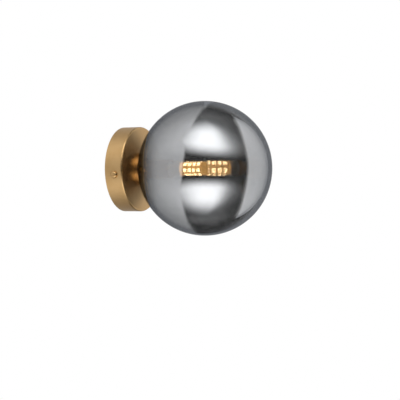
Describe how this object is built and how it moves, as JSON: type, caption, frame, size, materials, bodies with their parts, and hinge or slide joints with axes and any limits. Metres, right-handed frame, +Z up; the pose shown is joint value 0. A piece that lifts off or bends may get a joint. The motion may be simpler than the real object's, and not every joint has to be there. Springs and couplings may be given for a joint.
{
  "type": "globe wall sconce",
  "caption": "Wall light with a round satin brass canopy and a smoked mirror glass globe that screws into a brass cup over a plug-in lamp.",
  "frame": {"origin": "middle of the wall face, on the globe's axis", "axes": "+Z up, -Y out from the wall along the globe's axis, +X to the right for a viewer who faces the wall"},
  "size_m": [0.14, 0.164, 0.14],
  "materials": {
    "satin_brass": "satin, lacquered",
    "smoked_mirror_glass": "half-mirrored, polished",
    "silicone": "matt",
    "zinc_steel": "bright zinc plated",
    "bare_brass": "turned",
    "nickel": "bright",
    "steatite": "unglazed",
    "lamp_white": "satin",
    "lamp_board": "satin",
    "lit_chip": "lit",
    "clear_cover": "clear",
    "block_white": "moulded",
    "wire_brown": "satin",
    "wire_blue": "satin",
    "wire_earth": "satin"
  },
  "bodies": {
    "fixture": {"wall_plate": "zinc_steel", "canopy": "satin_brass", "socket_cup": "satin_brass", "cup_ring_nut": "zinc_steel", "nipple": "zinc_steel", "nipple_nuts": "zinc_steel", "nipple_washer": "zinc_steel", "holder_sleeve": "satin_brass", "holder_cap": "steatite", "holder_body": "steatite", "holder_contacts": "nickel", "terminal_block": "block_white", "terminal_tubes": "bare_brass", "terminal_screws": "zinc_steel", "block_screws": "zinc_steel", "earth_washer": "zinc_steel", "earth_lug": "nickel", "earth_screw": "zinc_steel", "lead_live": "wire_brown", "lead_neutral": "wire_blue", "earth_lead": "wire_earth"},
    "seal": {"globe_seal": "silicone"},
    "globe": {"globe": "smoked_mirror_glass"},
    "lamp": {"lamp_base": "lamp_white", "lamp_pins": "nickel", "lamp_core": "lamp_board", "lamp_chips": "lit_chip", "lamp_cover": "clear_cover"},
    "left_screw": {"side_screw_left": "satin_brass"},
    "right_screw": {"side_screw_right": "satin_brass"}
  },
  "joints": [
    {"name": "globe_back_off", "type": "slide", "parent": "fixture", "child": "seal", "axis": [0, -1, 0], "range_m": [0, 0.01202]},
    {"name": "globe_turn", "type": "hinge", "parent": "seal", "child": "globe", "pos_m": [0, -0.094, 0], "axis": [0, -1, 0], "range_deg": [0, 1080]},
    {"name": "lamp_pull", "type": "slide", "parent": "fixture", "child": "lamp", "axis": [0, -1, 0], "range_m": [0, 0.016]},
    {"name": "side_screw_left_back_out", "type": "slide", "parent": "fixture", "child": "left_screw", "axis": [-0.989, 0, -0.1478], "range_m": [0, 0.007]},
    {"name": "side_screw_right_back_out", "type": "slide", "parent": "fixture", "child": "right_screw", "axis": [0.989, 0, 0.1478], "range_m": [0, 0.007]}
  ],
  "couplings": [
    {"joint": "globe_back_off", "follows": "globe_turn", "m_per_rad": 0.00063662}
  ]
}
